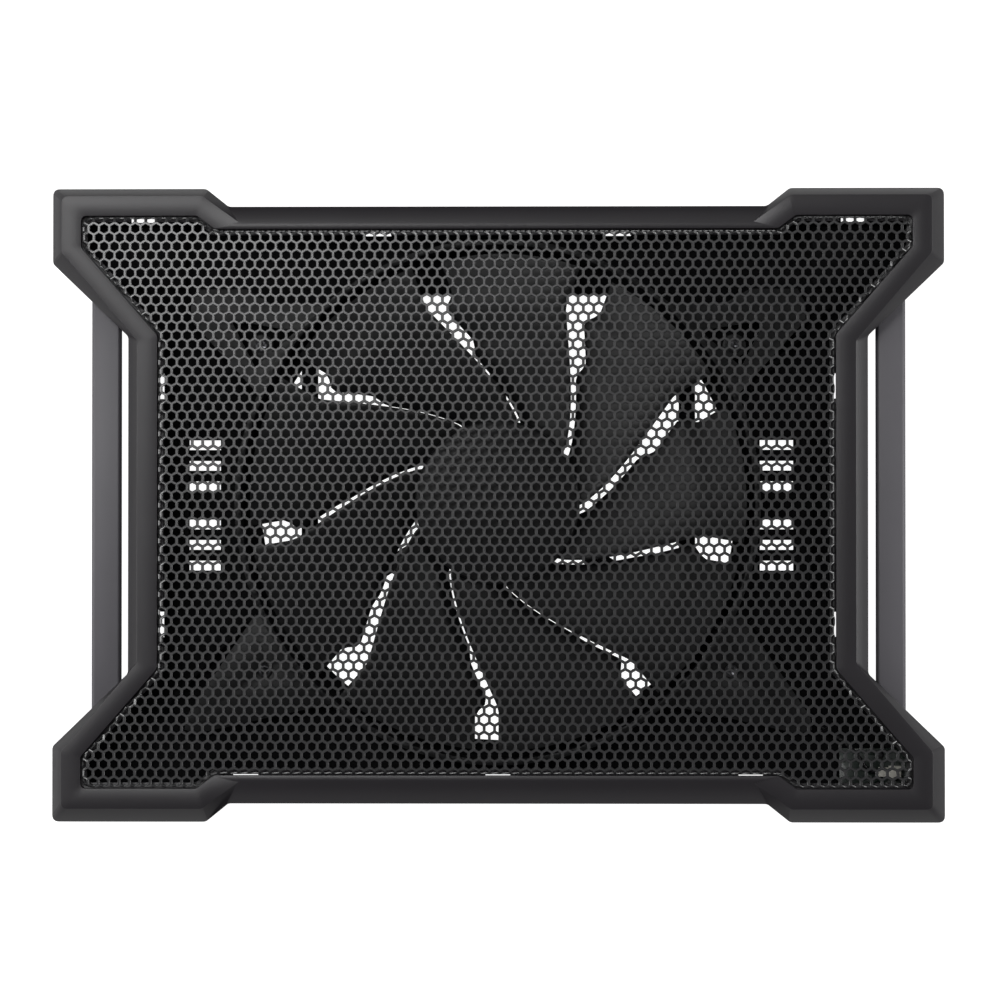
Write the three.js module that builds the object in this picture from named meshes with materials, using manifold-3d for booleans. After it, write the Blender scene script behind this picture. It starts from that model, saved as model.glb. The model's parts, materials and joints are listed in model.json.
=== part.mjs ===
// Laptop cooling pad with one large fan under a perforated steel sheet.
// Millimetres, +X to the right, +Y to the rear, +Z up, origin in the middle of the table plane.
import * as THREE from 'three';
import { mergeVertices } from 'three/addons/utils/BufferGeometryUtils.js';
import Module from 'manifold-3d';

const wasm = await Module();
wasm.setup();

// ---------------------------------------------------------------- driving dimensions

const WIDTH = 380;
const DEPTH = 270;
const HALF_WIDTH = WIDTH / 2;
const HALF_DEPTH = DEPTH / 2;
const GAP = 0.3;

// Heights
const BASE_BOTTOM = 2.4;
const FLOOR_TOP = 4.6;
const BASE_WALL_TOP = 12.7;
const FRAME_BOTTOM = 13;
const CHAMFER_WING_Z = 17.4;
const CHAMFER_SIDE_Z = 22;
const CHAMFER_MIDDLE_Z = 24.4;
const FRAME_TOP = 27.4;
const PANEL_TOP = 28.4;

// Walls
const BASE_WALL = 2;
const BASE_BEVEL = 1.2;
const FRAME_WALL = 2.2;
const FRAME_CEILING_Z = 22.2;
const CEILING_INSET = 4.8;

// Outline of the pad in its quarter with +X and +Y, from the side to the rear
const FOOT_CORNERS = [
  [157.2, 71.7], [HALF_WIDTH, 103], [HALF_WIDTH, HALF_DEPTH], [124.4, HALF_DEPTH], [114.2, 126.7],
];
const FOOT_HEIGHTS = [CHAMFER_SIDE_Z, CHAMFER_WING_Z, CHAMFER_WING_Z, CHAMFER_WING_Z, CHAMFER_MIDDLE_Z];
const TOP_CORNERS = [[152.3, 68.3], [184.5, 105.8], [184.5, 130], [124.8, 130], [108.6, 118.3]];
const WINDOW_CORNERS = [[143.85, 70.8], [176.3, 108.1], [176.3, 121.5], [127, 121.5], [119.4, 115.85]];
const TOP_SHIFT = [-0.5, 1.2];
const OUTER_CORNER_RADIUS = 3;
const WINDOW_CORNER_RADIUS = 2.6;
const CORNER_STEPS = 2;

// Mesh panel
const PANEL_THICKNESS = 0.8;
const PANEL_CLEARANCE = 0.5;
const PANEL_ROLL = 2.4;
const PANEL_ROLL_DROP = 1.8;
const PANEL_LIP_Z = 24.2;
const LEDGE_WIDTH = 2.4;
const LEDGE_TOP = 23.9;

// Fan
const FAN_CENTRE_Y = 1.2;
const RING_INNER = 109.6;
const RING_OUTER = 112;
const RING_BOTTOM = FLOOR_TOP + GAP;
const RING_TOP = 21;
const DUCT_RADIUS = 102;
const GUARD_BAR_X = 81;
const GUARD_BAR_WIDTH = 7;
const GUARD_REAR_Y = 90.4;
const ROUND_SIDES = 60;
const BLADE_COUNT = 9;
const BLADE_TIP = 106;
const HUB_RADIUS = 35;
const HUB_BOTTOM = 10;
const HUB_TOP = 22.6;
const HUB_WALL = 2;
const HUB_PLATE_BOTTOM = HUB_TOP - HUB_WALL;
const BLADE_HIGH_Z = 20.6;
const BLADE_LOW_Z = 10.2;
const BLADE_THICKNESS = 1.4;
const BLADE_STATIONS = 9;
const BLADE_CHORD_STEPS = 4;
const SWEEP_START = -6;
const SWEEP_TURN = 46;
const SWEEP_LENGTH = 35;
const SWEEP_END_RADIUS = 88;

// Each space between two blades, counterclockwise: its width near the hub and how much it widens outwards.
// They are unequal, so that the fan has no single tone.
const BLADE_GAPS = [
  [3.8, 4.5], [2.6, 5.5], [1, 5], [0.6, 4], [1.8, 0.8], [3.6, 2.5], [1.2, 2.5], [0.6, 1], [2.4, 0.6],
];
const GAP_WIDENING = { start: 62, length: 9 };
const TIP_CORNER = { start: 84, length: 8, width: 6.5 };
const STRUT_ANGLES = [-30, 90, 210];
const LEAD_STRUT_ANGLE = -30;
const STRUT_WIDTH = 7;
const STRUT_TOP = 8.4;
const SEAT_RADIUS = 34;
const SEAT_TOP = 7.4;
const SEAT_RIM = 2;
const EAR_BOTTOM = 10;
const EAR_TOP = 12.5;
const REAR_EAR_SCREW = [101, 68];
const FRONT_EAR_SCREW = [99.6, 70.8];
const EAR_BOSS_RADIUS = 4.5;
const EAR_EYE_RADIUS = 5;
const HUB_RIM = 1.2;
const YOKE_SEAT_WALL = 1.6;
const SHAFT_BOSS_RADIUS = 3;

// Motor
const BEARING_TUBE_RADIUS = 5;
const BEARING_TUBE_TOP = 19;
const BEARING_BORE = 3.3;
const BEARING_RADIUS = 3;
const SHAFT_RADIUS = 1;
const YOKE_OUTER = 24.6;
const YOKE_INNER = 23.2;
const MAGNET_OUTER = 22.9;
const MAGNET_INNER = 20.9;
const MAGNET_TOP = 19.8;
const SHAFT_BOTTOM = 6.6;
const CLIP = { radius: 2.6, z0: 7.3, z1: 7.9 };
const SLEEVE = { z0: 8.6, z1: 18.6 };
const MOTOR_BOARD = { radius: 19, top: 8.9 };
const STATOR_RADIUS = 20.4;
const POLE_COUNT = 4;
const POLE_WIDTH = 5;
const POLE_LENGTH = 12;
const POLE_HEAD = { radius: 17.6, depth: 4.4, width: 24 };
const STATOR_HUB_RADIUS = 8;
const STATOR_BOTTOM = 12;
const STATOR_TOP = 17.4;
const COIL_THICKNESS = 2.1;
const COIL_START = 8.4;
const COIL_END = 15;
const COIL_SPREAD = 44;

// Side bars
const BAR_INNER_X = 161.4;
const BAR_OUTER_X = 174;
const BAR_END_Y = 91;
const BAR_BOTTOM = 7.4;
const BAR_BEVEL = 1.1;
const BAR_NOTCH_Y = 70;

// Screws
const SCREW_SIDES = 10;
const SCREW_HEAD_RADIUS = 2.9;
const SCREW_HEAD_HEIGHT = 1.7;
const SCREW_SHANK_RADIUS = 1.4;
const SCREW_HOLE_RADIUS = 1.7;
const RECESS = { length: 3.2, width: 0.8, depth: 0.9 };
const FAN_SCREW_LENGTH = 7;
const CASE_SCREW_LENGTH = 10;
const CASE_BOSS_RADIUS = 4.4;
const CASE_BOSS_TOP = 8;
const CASE_SEAT_Z = 5.4;
const CASE_POST_RADIUS = 3.2;
const CASE_POST_HOLE_TOP = 17;
const CASE_SCREWS = [
  [137, 127.3], [-137, 127.3], [137, -127.3], [-137, -127.3], [0, 120.9], [55, -120.9], [-55, -120.9],
];

// Ribs on the floor
const RIB_WIDTH = 1.6;
const RIB_TOP = 9.6;
const SIDE_RIB = { x: 133.4, length: 80 };
const CORNER_RIB = { x: 128.8, y: 71.5, angle: 46.3, length: 60 };

// Openings in the floor
const VENT_SPANS = [[-134.3, -119.3], [112.2, 126.6]];
const VENT_HEIGHT = 4.2;
const VENT_ROWS = [-25.9, -17, -8.2, 8.2, 17, 25.9];
const SNAP_LENGTH = 11;
const SNAP_WIDTH = 2.3;
const SNAPS_ALONG_X = [
  [152.6, 122.8], [-152.6, 122.8], [51.5, 116.9], [-51.5, 116.9], [-108.5, -116.1], [0, -116.1], [108.5, -116.1],
];
const SNAPS_ALONG_Y = [[144.8, 51.2], [144.8, -51.2], [-144.8, 51.2], [-144.8, -51.2]];
const SNAP_LEAN = 0.986;

// Fold-out rear legs
const LEG_X = 155;
const LEG_HALF_WIDTH = 17.6;
const LEG_FREE_Y = 95.6;
const LEG_HINGE_Y = 113.6;
const LEG_HINGE_Z = 5.9;
const LEG_BARREL_RADIUS = 2.7;
const LEG_BOTTOM = 3;
const LEG_TOP = 8.6;
const LEG_PIN_RADIUS = 1.2;
const LEG_PIN_HOLE = 1.5;
const LEG_TIP_THICKNESS = 1.7;
const LEG_BAY_HALF_WIDTH = 18;
const LEG_BAY_FRONT = 95;
const LEG_BAY_REAR = 117.5;
const LEG_BAY_TOP = 9.2;
const LEG_BAY_WALL = 1.6;
const LEG_BAY_CHEEK = 3;
const LEG_POCKET = { pitch: 11, half: 4.6, skin: 2, barrelSide: 4 };

// Rubber feet
const RUBBER_X = 168;
const RUBBER_Y = 128;
const RUBBER_LENGTH = 22;
const RUBBER_WIDTH = 7;
const RUBBER_TOP = 2.7;

// Power module in the front right wing
const BOARD = { x0: 146, x1: 186.6, y0: -131, y1: -104, z0: 4.9, z1: 6.1 };
const USB = { y: -113, halfWidth: 6.6, z0: 6.4, z1: 12, depth: 14 };
const INLET = { y: -126, halfWidth: 3.9, z0: 6.4, z1: 10.4, depth: 9 };
const SOCKET_FACE_X = 189.6;
const SOCKET_WALL = 0.5;
const BOARD_SCREWS = [[163, -106.7], [163, -120]];
const BOARD_HOLE_RADIUS = 1;
const BOARD_SCREW = { shank: 0.7, head: 1.8, crown: 1.2, height: 1.1, depth: 1.2 };
const HEADER = { x0: 166.8, x1: 172, y0: -116.6, y1: -111.4, z0: 6.4, z1: 10.6 };
const PLUG = { x0: 162.5, x1: 166.5, y0: -116, y1: -112, z0: 7, z1: 10 };
const SWITCH = { x0: 147, x1: 158, y0: -132.5, y1: -127, z0: 6.4, z1: 11 };
const KNOB = { x0: 148.9, x1: 153.1, y0: -134.8, y1: -129.4, z0: 7.9, z1: 9.6 };
const KNOB_TRAVEL = 3;
const KNOB_SCOOP = { margin: 4, depth: 1.3, z0: 6.4, z1: 11.1 };
const LEAD_RADIUS = 0.8;
const LEAD_HEIGHT = 7.6;
const LEAD_STEPS = 46;
const LEAD_STRUT_RADII = [19.6, 40, 62, 84, 106];
const LEAD_GROOVE = { start: 19, end: 118 };
const LEAD_FLOOR_POINTS = [
  [101.6, -57.6, 7.5], [109, -65, 6.4], [115, -75, 5.9], [124, -85, 5.8], [136, -93.5, 5.8],
  [145.5, -99.5, 6.8], [153, -106, 8.1], [158, -112.6, 8.2], [161.2, -114, 8.2], [162.2, -114, 8.2],
];
const LEAD_HOOKS = [[119.2, -80.3, -132], [140.6, -96.6, -147]];
const HOOK = { width: 3, wall: 1.4, underside: 7.4, top: 8.6 };

// ---------------------------------------------------------------- solids

// A closed three.js geometry as a solid.
function solid(geometry) {
  const bare = geometry.clone();
  bare.deleteAttribute('normal');
  bare.deleteAttribute('uv');
  const merged = mergeVertices(bare, 1e-4);
  return new wasm.Manifold(new wasm.Mesh({
    numProp: 3,
    vertProperties: merged.attributes.position.array,
    triVerts: new Uint32Array(merged.index.array),
  }));
}

// A solid as a three.js geometry with flat faces.
function geometryOf(shape) {
  const mesh = shape.getMesh();
  const geometry = new THREE.BufferGeometry();
  geometry.setAttribute('position', new THREE.BufferAttribute(mesh.vertProperties, mesh.numProp));
  geometry.setIndex(new THREE.BufferAttribute(mesh.triVerts, 1));
  const flat = geometry.toNonIndexed();
  flat.computeVertexNormals();
  return flat;
}

function united(shapes) {
  return shapes.reduce((whole, shape) => whole.add(shape));
}

function cutBy(shape, cutters) {
  return cutters.reduce((rest, cutter) => rest.subtract(cutter), shape);
}

function box(x0, x1, y0, y1, z0, z1) {
  const geometry = new THREE.BoxGeometry(x1 - x0, y1 - y0, z1 - z0);
  return solid(geometry.translate((x0 + x1) / 2, (y0 + y1) / 2, (z0 + z1) / 2));
}

// A box given as an object of its limits.
function block({ x0, x1, y0, y1, z0, z1 }) {
  return box(x0, x1, y0, y1, z0, z1);
}

// A box that is turned about +Z by an angle in degrees and centred on a point.
function turnedBox(x, y, angle, length, width, z0, z1) {
  const geometry = new THREE.BoxGeometry(length, width, z1 - z0);
  geometry.rotateZ(THREE.MathUtils.degToRad(angle));
  return solid(geometry.translate(x, y, (z0 + z1) / 2));
}

// A round rod that stands along Z.
function rod(x, y, radius, z0, z1, sides = 20) {
  const geometry = new THREE.CylinderGeometry(radius, radius, z1 - z0, sides);
  geometry.rotateX(Math.PI / 2);
  return solid(geometry.translate(x, y, (z0 + z1) / 2));
}

// A round rod that lies along X.
function rodAlongX(x0, x1, y, z, radius, sides = 20) {
  const geometry = new THREE.CylinderGeometry(radius, radius, x1 - x0, sides);
  geometry.rotateZ(Math.PI / 2);
  return solid(geometry.translate((x0 + x1) / 2, y, z));
}

// A ring about the Z axis through a point.
function tube(x, y, inner, outer, z0, z1, sides = 32) {
  return rod(x, y, outer, z0, z1, sides).subtract(rod(x, y, inner, z0 - 1, z1 + 1, sides));
}

// A profile of [radius, z] points, bottom to top, turned about Z.
function turned(profile, x, y, sides) {
  const geometry = new THREE.LatheGeometry(profile.map(([r, z]) => new THREE.Vector2(r, z)), sides);
  geometry.rotateX(Math.PI / 2);
  return solid(geometry.translate(x, y, 0));
}

// A flat outline pushed up along Z.
function prism(points, z0, z1) {
  const shape = new THREE.Shape(points.map(([x, y]) => new THREE.Vector2(x, y)));
  const geometry = new THREE.ExtrudeGeometry(shape, { depth: z1 - z0, bevelEnabled: false });
  return solid(geometry.translate(0, 0, z0));
}

// A solid between rings of the same number of points, bottom ring first, each counterclockwise.
function loft(rings) {
  const count = rings[0].length;
  const positions = rings.flatMap((ring) => ring.flatMap((point) => [point.x, point.y, point.z]));
  const index = [];
  for (let level = 0; level < rings.length - 1; level += 1) {
    for (let i = 0; i < count; i += 1) {
      const a = level * count + i;
      const b = level * count + (i + 1) % count;
      index.push(a, b, b + count, a, b + count, a + count);
    }
  }
  const bottom = THREE.ShapeUtils.triangulateShape(rings[0], []);
  const top = THREE.ShapeUtils.triangulateShape(rings[rings.length - 1], []);
  const topStart = (rings.length - 1) * count;
  bottom.forEach(([a, b, c]) => index.push(a, c, b));
  top.forEach(([a, b, c]) => index.push(topStart + a, topStart + b, topStart + c));
  const geometry = new THREE.BufferGeometry();
  geometry.setAttribute('position', new THREE.Float32BufferAttribute(positions, 3));
  geometry.setIndex(index);
  return solid(geometry);
}

// ---------------------------------------------------------------- outlines

// All four quarters of an outline given in the quarter with +X and +Y.
function allQuarters(corners) {
  const backward = [...corners].reverse();
  return [
    ...corners,
    ...backward.map(([x, y, z]) => [-x, y, z]),
    ...corners.map(([x, y, z]) => [-x, -y, z]),
    ...backward.map(([x, y, z]) => [x, -y, z]),
  ];
}

function shifted(outline, [dx, dy]) {
  return outline.map(([x, y, z]) => [x + dx, y + dy, z]);
}

// The outline moved inwards by a distance, corner by corner.
function inset(corners, distance) {
  const count = corners.length;
  return corners.map(([x, y, z], i) => {
    const [xa, ya] = corners[(i + count - 1) % count];
    const [xb, yb] = corners[(i + 1) % count];
    const before = new THREE.Vector2(x - xa, y - ya).normalize();
    const after = new THREE.Vector2(xb - x, yb - y).normalize();
    const normal = new THREE.Vector2(-before.y - after.y, before.x + after.x);
    const reach = distance / (1 + before.dot(after));
    return [x + normal.x * reach, y + normal.y * reach, z];
  });
}

// The outline with each corner rounded, as points at a height, or at the corners' own heights.
function rounded(corners, radius, height) {
  const points = corners.map(([x, y, z]) => new THREE.Vector3(x, y, height ?? z));
  const count = points.length;
  return points.flatMap((corner, i) => {
    const toBefore = points[(i + count - 1) % count].clone().sub(corner);
    const toAfter = points[(i + 1) % count].clone().sub(corner);
    const opening = Math.min(toBefore.angleTo(toAfter), Math.PI - 1e-3);
    const reach = radius / Math.tan(opening / 2);
    const start = corner.clone().add(toBefore.setLength(reach));
    const end = corner.clone().add(toAfter.setLength(reach));
    return new THREE.QuadraticBezierCurve3(start, corner, end).getPoints(CORNER_STEPS);
  });
}

const footOutline = allQuarters(FOOT_CORNERS.map(([x, y], i) => [x, y, FOOT_HEIGHTS[i]]));
const topOutline = shifted(allQuarters(TOP_CORNERS), TOP_SHIFT);
const windowOutline = shifted(allQuarters(WINDOW_CORNERS), TOP_SHIFT);

function polar(radius, degrees) {
  const angle = THREE.MathUtils.degToRad(degrees);
  return [radius * Math.cos(angle), radius * Math.sin(angle)];
}

// The slots that the snap hooks pass through. The hooks lean inwards, so those in the frame stand further in.
function snapCutters(top, lean) {
  const half = SNAP_LENGTH / 2;
  const slim = SNAP_WIDTH / 2;
  const slot = ([x, y], halfX, halfY) => (
    box(x * lean - halfX, x * lean + halfX, y * lean - halfY, y * lean + halfY, 0, top)
  );
  return [
    ...SNAPS_ALONG_X.map((place) => slot(place, half, slim)),
    ...SNAPS_ALONG_Y.map((place) => slot(place, slim, half)),
  ];
}

// ---------------------------------------------------------------- casing

function topFrame() {
  const outside = loft([
    rounded(footOutline, OUTER_CORNER_RADIUS, FRAME_BOTTOM),
    rounded(footOutline, OUTER_CORNER_RADIUS),
    rounded(topOutline, OUTER_CORNER_RADIUS, FRAME_TOP),
  ]);
  const inner = inset(footOutline, FRAME_WALL);
  const shoulder = CHAMFER_WING_Z - 1;
  const hollow = loft([
    rounded(inner, OUTER_CORNER_RADIUS, FRAME_BOTTOM - 1),
    rounded(inner, OUTER_CORNER_RADIUS, shoulder),
    rounded(inset(footOutline, CEILING_INSET), OUTER_CORNER_RADIUS, FRAME_CEILING_Z),
  ]);
  const windowTop = loft([
    rounded(windowOutline, WINDOW_CORNER_RADIUS, LEDGE_TOP),
    rounded(windowOutline, WINDOW_CORNER_RADIUS, FRAME_TOP + 1),
  ]);
  const ledgeOutline = inset(windowOutline, LEDGE_WIDTH);
  const windowBelow = loft([
    rounded(ledgeOutline, WINDOW_CORNER_RADIUS, FRAME_CEILING_Z - 1),
    rounded(ledgeOutline, WINDOW_CORNER_RADIUS, LEDGE_TOP + 1),
  ]);
  const posts = CASE_SCREWS.map(([x, y]) => {
    const post = rod(x, y, CASE_POST_RADIUS, CASE_BOSS_TOP + GAP, FRAME_CEILING_Z + 1);
    return post.subtract(rod(x, y, SCREW_HOLE_RADIUS, 0, CASE_POST_HOLE_TOP));
  });
  const shell = cutBy(outside, [hollow, windowTop, windowBelow, ...snapCutters(LEDGE_TOP + GAP, SNAP_LEAN)]);
  return shell.add(united(posts));
}

function meshPanel() {
  const edge = inset(windowOutline, PANEL_CLEARANCE);
  const flat = inset(windowOutline, PANEL_CLEARANCE + PANEL_ROLL);
  const innerEdge = inset(edge, PANEL_THICKNESS);
  const innerFlat = inset(edge, PANEL_ROLL);
  const rollStart = PANEL_TOP - PANEL_ROLL_DROP;
  const outside = loft([
    rounded(edge, WINDOW_CORNER_RADIUS, PANEL_LIP_Z),
    rounded(edge, WINDOW_CORNER_RADIUS, rollStart),
    rounded(flat, WINDOW_CORNER_RADIUS, PANEL_TOP),
  ]);
  const inside = loft([
    rounded(innerEdge, WINDOW_CORNER_RADIUS, PANEL_LIP_Z - 1),
    rounded(innerEdge, WINDOW_CORNER_RADIUS, rollStart - PANEL_THICKNESS / 2),
    rounded(innerFlat, WINDOW_CORNER_RADIUS, PANEL_TOP - PANEL_THICKNESS),
  ]);
  return outside.subtract(inside);
}

// The bay that a folded leg lies in, as the block around it and the space inside it.
function legBayBlock(side) {
  const reach = LEG_BAY_HALF_WIDTH + LEG_BAY_CHEEK;
  return box(side * LEG_X - reach, side * LEG_X + reach, LEG_BAY_FRONT - LEG_BAY_WALL,
    LEG_BAY_REAR + LEG_BAY_WALL, BASE_BOTTOM, LEG_BAY_TOP + LEG_BAY_WALL);
}

function legBaySpace(side) {
  const x = side * LEG_X;
  const bay = box(x - LEG_BAY_HALF_WIDTH, x + LEG_BAY_HALF_WIDTH, LEG_BAY_FRONT, LEG_BAY_REAR, 0, LEG_BAY_TOP);
  const reach = LEG_BAY_HALF_WIDTH + LEG_BAY_CHEEK - 1;
  return bay.add(rodAlongX(x - reach, x + reach, LEG_HINGE_Y, LEG_HINGE_Z, LEG_PIN_HOLE, 12));
}

// A post beside the lead with an arm over it.
function leadHook([x, y, angle]) {
  const reach = LEAD_RADIUS + HOOK.wall;
  const [dx, dy] = polar(reach, angle);
  const post = turnedBox(x + dx, y + dy, angle, HOOK.wall, HOOK.width, FLOOR_TOP - 1, HOOK.top);
  const arm = turnedBox(x + dx / 2, y + dy / 2, angle, 2 * reach, HOOK.width, HOOK.underside, HOOK.top);
  return post.add(arm);
}

// The floor with its rim, open at the top.
function trayShell() {
  const outer = inset(footOutline, GAP);
  const outside = loft([
    rounded(inset(footOutline, GAP + BASE_BEVEL), OUTER_CORNER_RADIUS, BASE_BOTTOM),
    rounded(outer, OUTER_CORNER_RADIUS, BASE_BOTTOM + BASE_BEVEL),
    rounded(outer, OUTER_CORNER_RADIUS, BASE_WALL_TOP),
  ]);
  const inner = inset(outer, BASE_WALL);
  const inside = loft([
    rounded(inner, OUTER_CORNER_RADIUS, FLOOR_TOP),
    rounded(inner, OUTER_CORNER_RADIUS, BASE_WALL_TOP + 1),
  ]);
  return outside.subtract(inside);
}

function floorRibs() {
  const rib = (x, y, angle, length) => turnedBox(x, y, angle, length, RIB_WIDTH, FLOOR_TOP - 1, RIB_TOP);
  return [-1, 1].flatMap((side) => [
    rib(side * SIDE_RIB.x, 0, 90, SIDE_RIB.length),
    ...[-1, 1].map((end) => (
      rib(side * CORNER_RIB.x, end * CORNER_RIB.y, side * end * CORNER_RIB.angle, CORNER_RIB.length)
    )),
  ]);
}

function ventCutters() {
  const half = VENT_HEIGHT / 2;
  return VENT_ROWS.flatMap((y) => VENT_SPANS.map(([x0, x1]) => box(x0, x1, y - half, y + half, 0, FLOOR_TOP + 1)));
}

// The notches in the rim that the ends of the side bars stand in.
function barNotches() {
  return [-1, 1].flatMap((side) => [-1, 1].map((end) => {
    const across = [side * (BAR_INNER_X - GAP), side * (BAR_OUTER_X + GAP)].sort((a, b) => a - b);
    const along = [end * BAR_NOTCH_Y, end * (BAR_END_Y + GAP)].sort((a, b) => a - b);
    return box(...across, ...along, FLOOR_TOP, BASE_WALL_TOP + 1);
  }));
}

// The round air opening under the fan, less its two long bars, their cross bars and the straight rear edge.
function airOpening() {
  const duct = rod(0, FAN_CENTRE_Y, DUCT_RADIUS, 0, FLOOR_TOP + 6, ROUND_SIDES);
  const half = GUARD_BAR_WIDTH / 2;
  const bars = [-1, 1].map((side) => {
    const x = side * GUARD_BAR_X;
    const crossX = side * (GUARD_BAR_X + DUCT_RADIUS) / 2;
    return box(x - half, x + half, -DUCT_RADIUS, DUCT_RADIUS, 0, FLOOR_TOP + 7)
      .add(turnedBox(crossX, 0, 0, DUCT_RADIUS - GUARD_BAR_X + 2, GUARD_BAR_WIDTH, 0, FLOOR_TOP + 7));
  });
  const rearEdge = box(-DUCT_RADIUS, DUCT_RADIUS, GUARD_REAR_Y, DUCT_RADIUS + FAN_CENTRE_Y + 1, 0, FLOOR_TOP + 7);
  return cutBy(duct, [...bars, rearEdge]);
}

function baseTray() {
  const earScrews = earScrewPlaces();
  const earBosses = earScrews.map(([x, y]) => rod(x, y, EAR_BOSS_RADIUS, FLOOR_TOP - 1, EAR_BOTTOM - GAP));
  const caseBosses = CASE_SCREWS.map(([x, y]) => rod(x, y, CASE_BOSS_RADIUS, BASE_BOTTOM, CASE_BOSS_TOP));
  const body = united([
    trayShell(), ...floorRibs(), ...earBosses, ...caseBosses,
    legBayBlock(-1), legBayBlock(1), ...LEAD_HOOKS.map(leadHook),
  ]);
  const earHoles = earScrews.map(([x, y]) => rod(x, y, SCREW_HOLE_RADIUS, FLOOR_TOP + 0.6, EAR_BOTTOM, 12));
  const caseHoles = CASE_SCREWS.flatMap(([x, y]) => [
    rod(x, y, SCREW_HOLE_RADIUS, 0, CASE_BOSS_TOP + 1, 12),
    rod(x, y, SCREW_HEAD_RADIUS + GAP, 0, CASE_SEAT_Z),
  ]);
  const rubberSeats = rubberPlaces().map(([x, y]) => rubberPad(x, y, GAP, 0, RUBBER_TOP + GAP));
  const socketHoles = [USB, INLET].map((socket) => box(
    BOARD.x1, HALF_WIDTH + 1, socket.y - socket.halfWidth - GAP, socket.y + socket.halfWidth + GAP,
    socket.z0 - GAP, BASE_WALL_TOP + 1,
  ));
  const knobSlot = box(KNOB.x0 - GAP, KNOB.x1 + KNOB_TRAVEL + GAP, -HALF_DEPTH - 1, KNOB.y1,
    KNOB.z0 - GAP, KNOB.z1 + GAP);
  const knobScoop = box(KNOB.x0 - KNOB_SCOOP.margin, KNOB.x1 + KNOB_TRAVEL + KNOB_SCOOP.margin,
    -HALF_DEPTH - 1, -HALF_DEPTH + KNOB_SCOOP.depth, KNOB_SCOOP.z0, KNOB_SCOOP.z1);
  const boardHoles = BOARD_SCREWS.map(([x, y]) => (
    rod(x, y, BOARD_HOLE_RADIUS, FLOOR_TOP - BOARD_SCREW.depth - GAP, FLOOR_TOP + 1, 12)
  ));
  return cutBy(body, [
    airOpening(), ...ventCutters(), ...snapCutters(FLOOR_TOP + 1, 1), ...earHoles, ...caseHoles, ...barNotches(),
    ...rubberSeats, legBaySpace(-1), legBaySpace(1), ...socketHoles, knobSlot, knobScoop, ...boardHoles,
  ]);
}

function sideBar(side) {
  const half = (BAR_OUTER_X - BAR_INNER_X) / 2;
  const x = side * (BAR_INNER_X + BAR_OUTER_X) / 2;
  const corners = (margin) => [
    [x - half + margin, -BAR_END_Y], [x + half - margin, -BAR_END_Y],
    [x + half - margin, BAR_END_Y], [x - half + margin, BAR_END_Y],
  ].map(([cx, cy]) => new THREE.Vector3(cx, cy, 0));
  const at = (ring, z) => ring.map((point) => new THREE.Vector3(point.x, point.y, z));
  return loft([
    at(corners(BAR_BEVEL), BAR_BOTTOM),
    at(corners(0), BAR_BOTTOM + BAR_BEVEL),
    at(corners(0), BASE_WALL_TOP - BAR_BEVEL),
    at(corners(BAR_BEVEL), BASE_WALL_TOP),
  ]);
}

// ---------------------------------------------------------------- fan

function earScrewPlaces() {
  const [rearX, rearY] = REAR_EAR_SCREW;
  const [frontX, frontY] = FRONT_EAR_SCREW;
  return [[-rearX, rearY], [rearX, rearY], [-frontX, -frontY], [frontX, -frontY]];
}

// An open triangular loop at the rear, and a closed triangular plate at the front.
function rearEar(side) {
  const outline = [
    [58, 86.5], [97.5, 86.5], [107.7, 92.4], [128, 92.4], [131.4, 86], [131.4, 78.9], [100.5, 45], [80, 60],
  ];
  const hole = [[86.5, 74.5], [114.5, 79.3], [104, 59]];
  const facing = (points) => (side > 0 ? [...points].reverse() : points).map(([x, y]) => [side * x, y]);
  const eye = rod(side * REAR_EAR_SCREW[0], REAR_EAR_SCREW[1], EAR_EYE_RADIUS, EAR_BOTTOM, EAR_TOP);
  return prism(facing(outline), EAR_BOTTOM, EAR_TOP).subtract(prism(facing(hole), 0, EAR_TOP + 1)).add(eye);
}

function frontEar(side) {
  const outline = [[62, -84], [73.8, -85.5], [128, -97.5], [134, -96], [133, -90], [104, -47], [88, -50]];
  const facing = side > 0 ? outline : [...outline].reverse();
  return prism(facing.map(([x, y]) => [side * x, y]), EAR_BOTTOM, EAR_TOP);
}

// A bar that runs outwards from the fan's axis between two radii.
function radialBar(angle, start, end, width, z0, z1) {
  const [x, y] = polar((start + end) / 2, angle);
  return turnedBox(x, y + FAN_CENTRE_Y, angle, end - start, width, z0, z1);
}

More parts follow.
